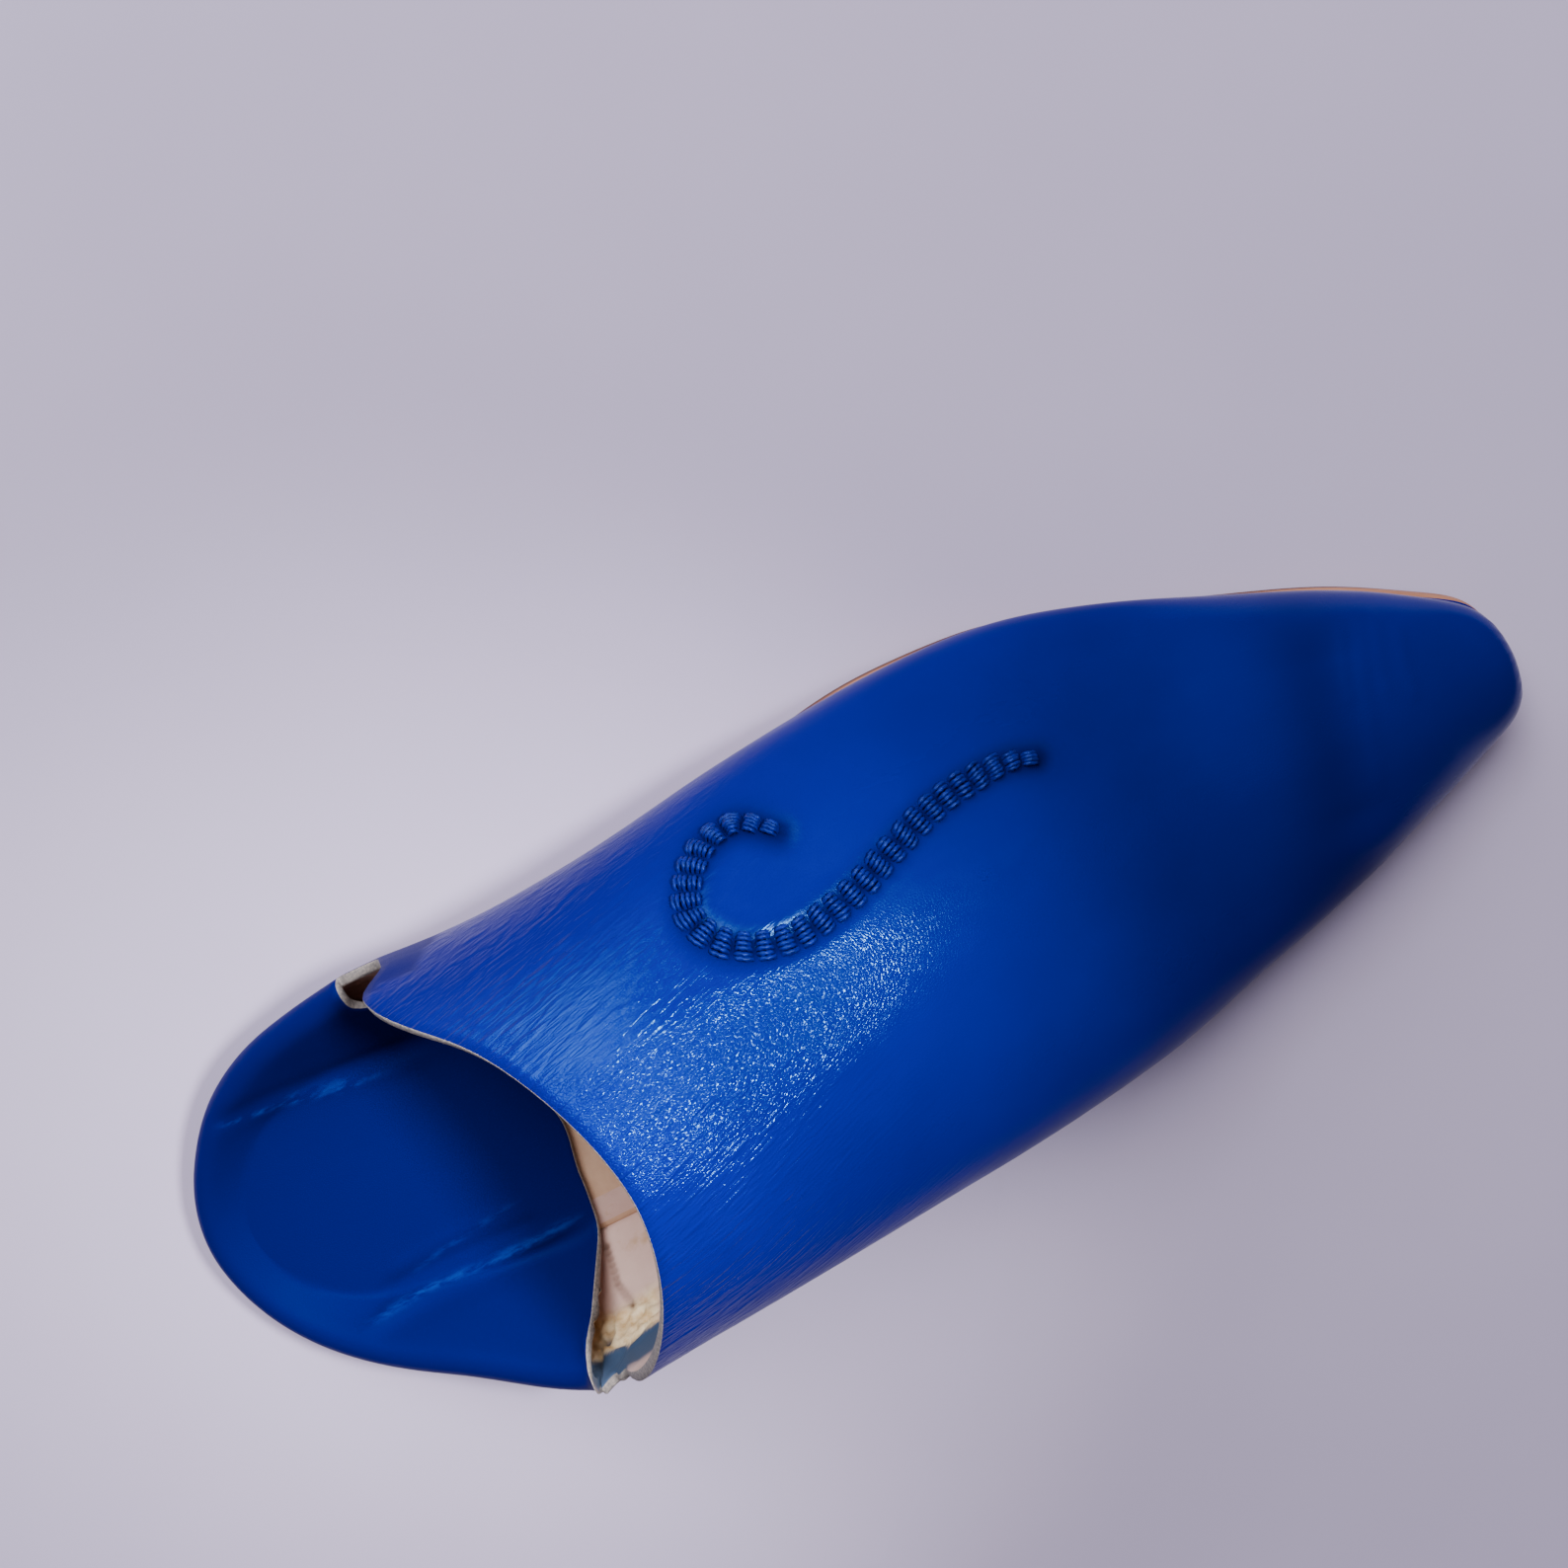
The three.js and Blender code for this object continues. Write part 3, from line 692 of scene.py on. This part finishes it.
def thread_form():
    """One short thread: a rod along Z from 0 to 1 with eight sides and ten rings."""
    shape = bmesh.new()
    bmesh.ops.create_cone(shape, cap_ends=True, segments=8, radius1=1.0, radius2=1.0, depth=1.0)
    bmesh.ops.translate(shape, vec=(0, 0, 0.5), verts=shape.verts)
    long = [edge for edge in shape.edges if abs(edge.verts[0].co.z - edge.verts[1].co.z) > 0.5]
    bmesh.ops.subdivide_edges(shape, edges=long, cuts=9)
    mesh = bpy.data.meshes.new("thread_form")
    shape.to_mesh(mesh)
    shape.free()
    return mesh


def band_frames(piece):
    """Places along the band on the hide with the way ahead, the way across and the way up."""
    tree = BVHTree.FromObject(piece, bpy.context.evaluated_depsgraph_get())
    spots = []
    for x, y in BAND_LINE:
        hit, normal, _, _ = tree.ray_cast(on_shoe(x, y, ABOVE_ALL), Vector((0, 0, -1)))
        spots.append((hit, normal))
    frames, run = [], 0.0
    for i, (hit, _) in enumerate(spots):
        near = spots[max(0, i - 2):i + 3]
        up = sum((normal for _, normal in near), Vector()).normalized()
        ahead = (spots[min(i + 1, len(spots) - 1)][0] - spots[max(i - 1, 0)][0]).normalized()
        run += (hit - spots[i - 1][0]).length if i else 0.0
        frames.append((run, hit + up * BAND_LIFT * MM, up.cross(ahead).normalized(), up))
    return frames


def frame_at(frames, run):
    i = 1
    while i < len(frames) - 1 and frames[i][0] < run:
        i += 1
    a, b = frames[i - 1], frames[i]
    t = (run - a[0]) / (b[0] - a[0])
    return [a[k].lerp(b[k], t) for k in (1, 2, 3)]


def make_band(hide):
    rng = random.Random(7)
    frames = band_frames(hide)
    step = frames[-1][0] / BAND_BLOCKS
    form = thread_form()
    shape = bmesh.new()
    for block in range(BAND_BLOCKS):
        near_end = min(block, BAND_BLOCKS - 1 - block)
        wide = BAND_WIDE * (BAND_ENDS[near_end] if near_end < len(BAND_ENDS) else 1.0)
        count = 6 if wide > 3.4 else 5 if wide > 2.6 else 4
        slant = 0.35 * (rng.random() - 0.2) if block > 14 else 0.15 * (rng.random() - 0.5)
        for k in range(count):
            across = (k / (count - 1) - 0.5) * 2
            reach = (wide / 2 - THREAD) * across + rng.uniform(-0.07, 0.07)
            start = (block + 0.05 + rng.uniform(0, 0.06)) * step
            length = step * (0.88 + rng.uniform(-0.05, 0.04))
            rise = THREAD_RISE * (1 - 0.35 * across ** 2) + rng.uniform(-0.07, 0.07)
            turn = rng.uniform(0, math.pi)
            first = len(shape.verts)
            shape.from_mesh(form)
            shape.verts.ensure_lookup_table()
            for vertex in shape.verts[first:]:
                t = vertex.co.z
                angle = math.atan2(vertex.co.y, vertex.co.x)
                middle, side, up = frame_at(frames, start + length * t)
                arch = math.sin(math.pi * t) ** 0.38 if 0 < t < 1 else 0.0
                thick = THREAD * (0.62 + 0.38 * arch) * (1 + 0.25 * math.cos(2 * (angle - turn - 9 * t)))
                out = reach * (0.88 + 0.15 * arch) + slant * (t - 0.5) * 2
                lift = -THREAD_DIVE + (rise + THREAD_DIVE) * arch
                vertex.co = (middle + side * (out + thick * math.cos(angle)) * MM
                             + up * (lift + thick * math.sin(angle)) * MM)
    for face in shape.faces:
        face.smooth = True
    mesh = bpy.data.meshes.new("stitched_band")
    shape.to_mesh(mesh)
    shape.free()
    bpy.data.meshes.remove(form)
    mesh.materials.append(navy_thread())
    band = bpy.data.objects.new("stitched_band", mesh)
    bpy.context.collection.objects.link(band)
    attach(band, "root")


make_band(make_upper())
make_outsole()
make_insole()


# Floor, light and camera
def make_floor():
    shape = bmesh.new()
    bmesh.ops.create_grid(shape, x_segments=1, y_segments=1, size=3.0)
    mesh = bpy.data.meshes.new("floor")
    shape.to_mesh(mesh)
    shape.free()
    floor = bpy.data.objects.new("floor", mesh)
    bpy.context.collection.objects.link(floor)
    f = Finish("pale_floor")
    tone = f.noise(6.0, 4.0)
    f.put(f.shader.inputs["Base Color"], f.ramp(tone, (0.3, (0.51, 0.45, 0.63)), (0.7, (0.56, 0.50, 0.69))))
    f.set(Roughness=0.9, Specular_IOR_Level=0.1)
    mesh.materials.append(f.material)


def softbox(name, place, size, power, colour, aim=(115, 5, 40), spread=180):
    """A round soft light. Its place and aim are on the shoe, its size is in metres, its spread in degrees."""
    data = bpy.data.lights.new(name, "AREA")
    data.shape = "DISK"
    data.size = size
    data.energy = power
    data.color = colour
    data.spread = math.radians(spread)
    lamp = bpy.data.objects.new(name, data)
    bpy.context.collection.objects.link(lamp)
    lamp.location = on_shoe(*place)
    lamp.rotation_euler = (lamp.location - on_shoe(*aim)).to_track_quat("Z", "Y").to_euler()


def make_light():
    softbox("crest_light", (264, 40, 302), 0.045, 0.16, (1.0, 0.97, 1.0), (92, 0, 76), 44)
    softbox("window", (-10, 930, 470), 0.7, 7.2, (0.90, 0.92, 1.0))
    softbox("overhead", (120, 760, 1030), 0.8, 18.0, (1.0, 0.96, 0.98))
    world = bpy.data.worlds.new("room")
    world.use_nodes = True
    world.node_tree.nodes["Background"].inputs["Color"].default_value = (0.80, 0.74, 0.98, 1.0)
    world.node_tree.nodes["Background"].inputs["Strength"].default_value = 0.12
    bpy.context.scene.world = world


def make_camera():
    """The camera was solved from the outlines of the shoe in the photo."""
    data = bpy.data.cameras.new("camera")
    data.lens = 32.44
    data.sensor_width = 36.0
    data.clip_start = 0.01
    camera = bpy.data.objects.new("camera", data)
    bpy.context.collection.objects.link(camera)
    right = Vector((0.8889, -0.4578, -0.0170)).normalized()
    ahead = Vector((-0.0933, -0.1446, -0.9851)).normalized()
    up = right.cross(ahead).normalized()
    right = ahead.cross(up)
    turn = Matrix((right, up, -ahead)).transposed().to_4x4()
    camera.matrix_world = Matrix.Translation(on_shoe(161.3, 67.2, 251.5)) @ turn
    bpy.context.scene.camera = camera


make_floor()
make_light()
make_camera()
